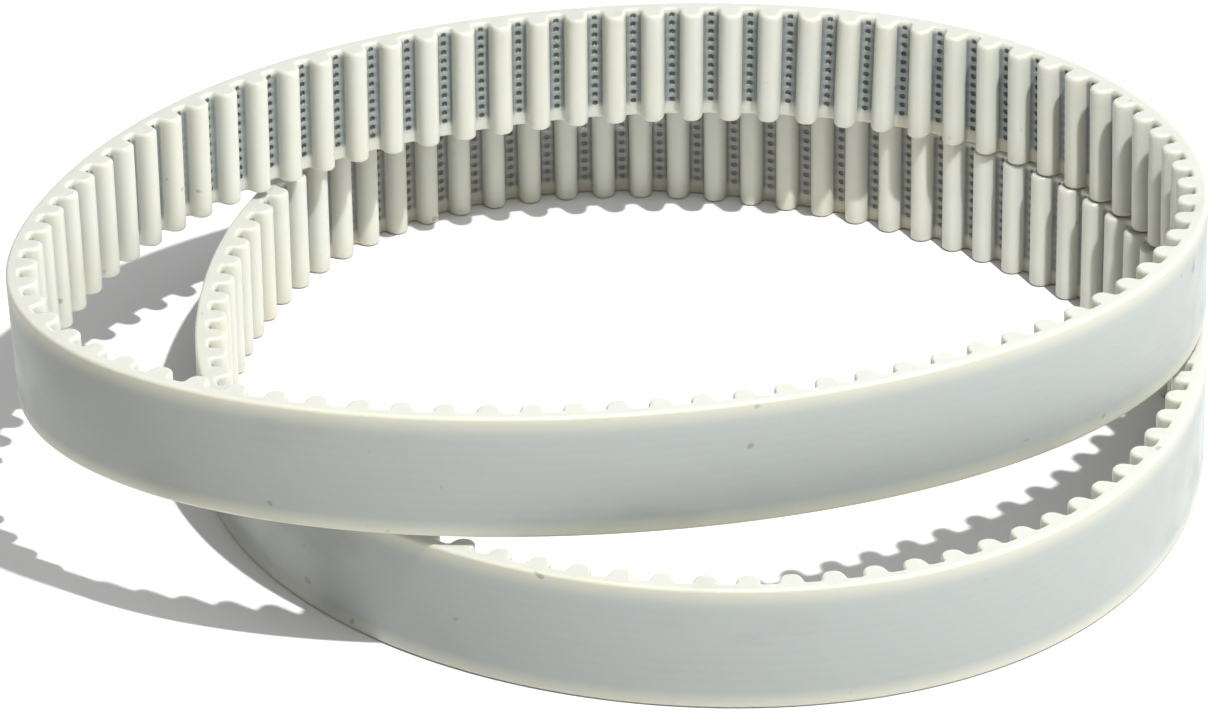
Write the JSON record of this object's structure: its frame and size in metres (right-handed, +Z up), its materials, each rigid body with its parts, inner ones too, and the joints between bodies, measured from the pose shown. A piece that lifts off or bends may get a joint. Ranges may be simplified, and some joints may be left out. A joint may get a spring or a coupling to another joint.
{
  "type": "timing belt",
  "caption": "Endless white polyurethane timing belts with round inner teeth and steel cords, one lying across the other.",
  "frame": {"origin": "on the floor, under the middle of the box round both belts", "axes": "+Z up, across the belts' width; +X along the stack's longest side, away from the upper belt's overhanging end; +Y towards the stack's back"},
  "size_m": [0.2316, 0.2156, 0.0529],
  "materials": {
    "polyurethane": "satin, slightly translucent",
    "steel_cord": "stranded wire"
  },
  "bodies": {
    "lower_belt": {"lower_belt_body": "polyurethane", "lower_belt_cord_01": "steel_cord", "lower_belt_cord_02": "steel_cord", "lower_belt_cord_03": "steel_cord", "lower_belt_cord_04": "steel_cord", "lower_belt_cord_05": "steel_cord", "lower_belt_cord_06": "steel_cord", "lower_belt_cord_07": "steel_cord", "lower_belt_cord_08": "steel_cord", "lower_belt_cord_09": "steel_cord", "lower_belt_cord_10": "steel_cord", "lower_belt_cord_11": "steel_cord"},
    "upper_belt": {"upper_belt_body": "polyurethane", "upper_belt_cord_01": "steel_cord", "upper_belt_cord_02": "steel_cord", "upper_belt_cord_03": "steel_cord", "upper_belt_cord_04": "steel_cord", "upper_belt_cord_05": "steel_cord", "upper_belt_cord_06": "steel_cord", "upper_belt_cord_07": "steel_cord", "upper_belt_cord_08": "steel_cord", "upper_belt_cord_09": "steel_cord", "upper_belt_cord_10": "steel_cord", "upper_belt_cord_11": "steel_cord"}
  },
  "joints": [
    {"name": "upper_lift", "type": "slide", "parent": "lower_belt", "child": "upper_belt", "axis": [0, 0, 1], "range_m": [0, 0.15]}
  ]
}
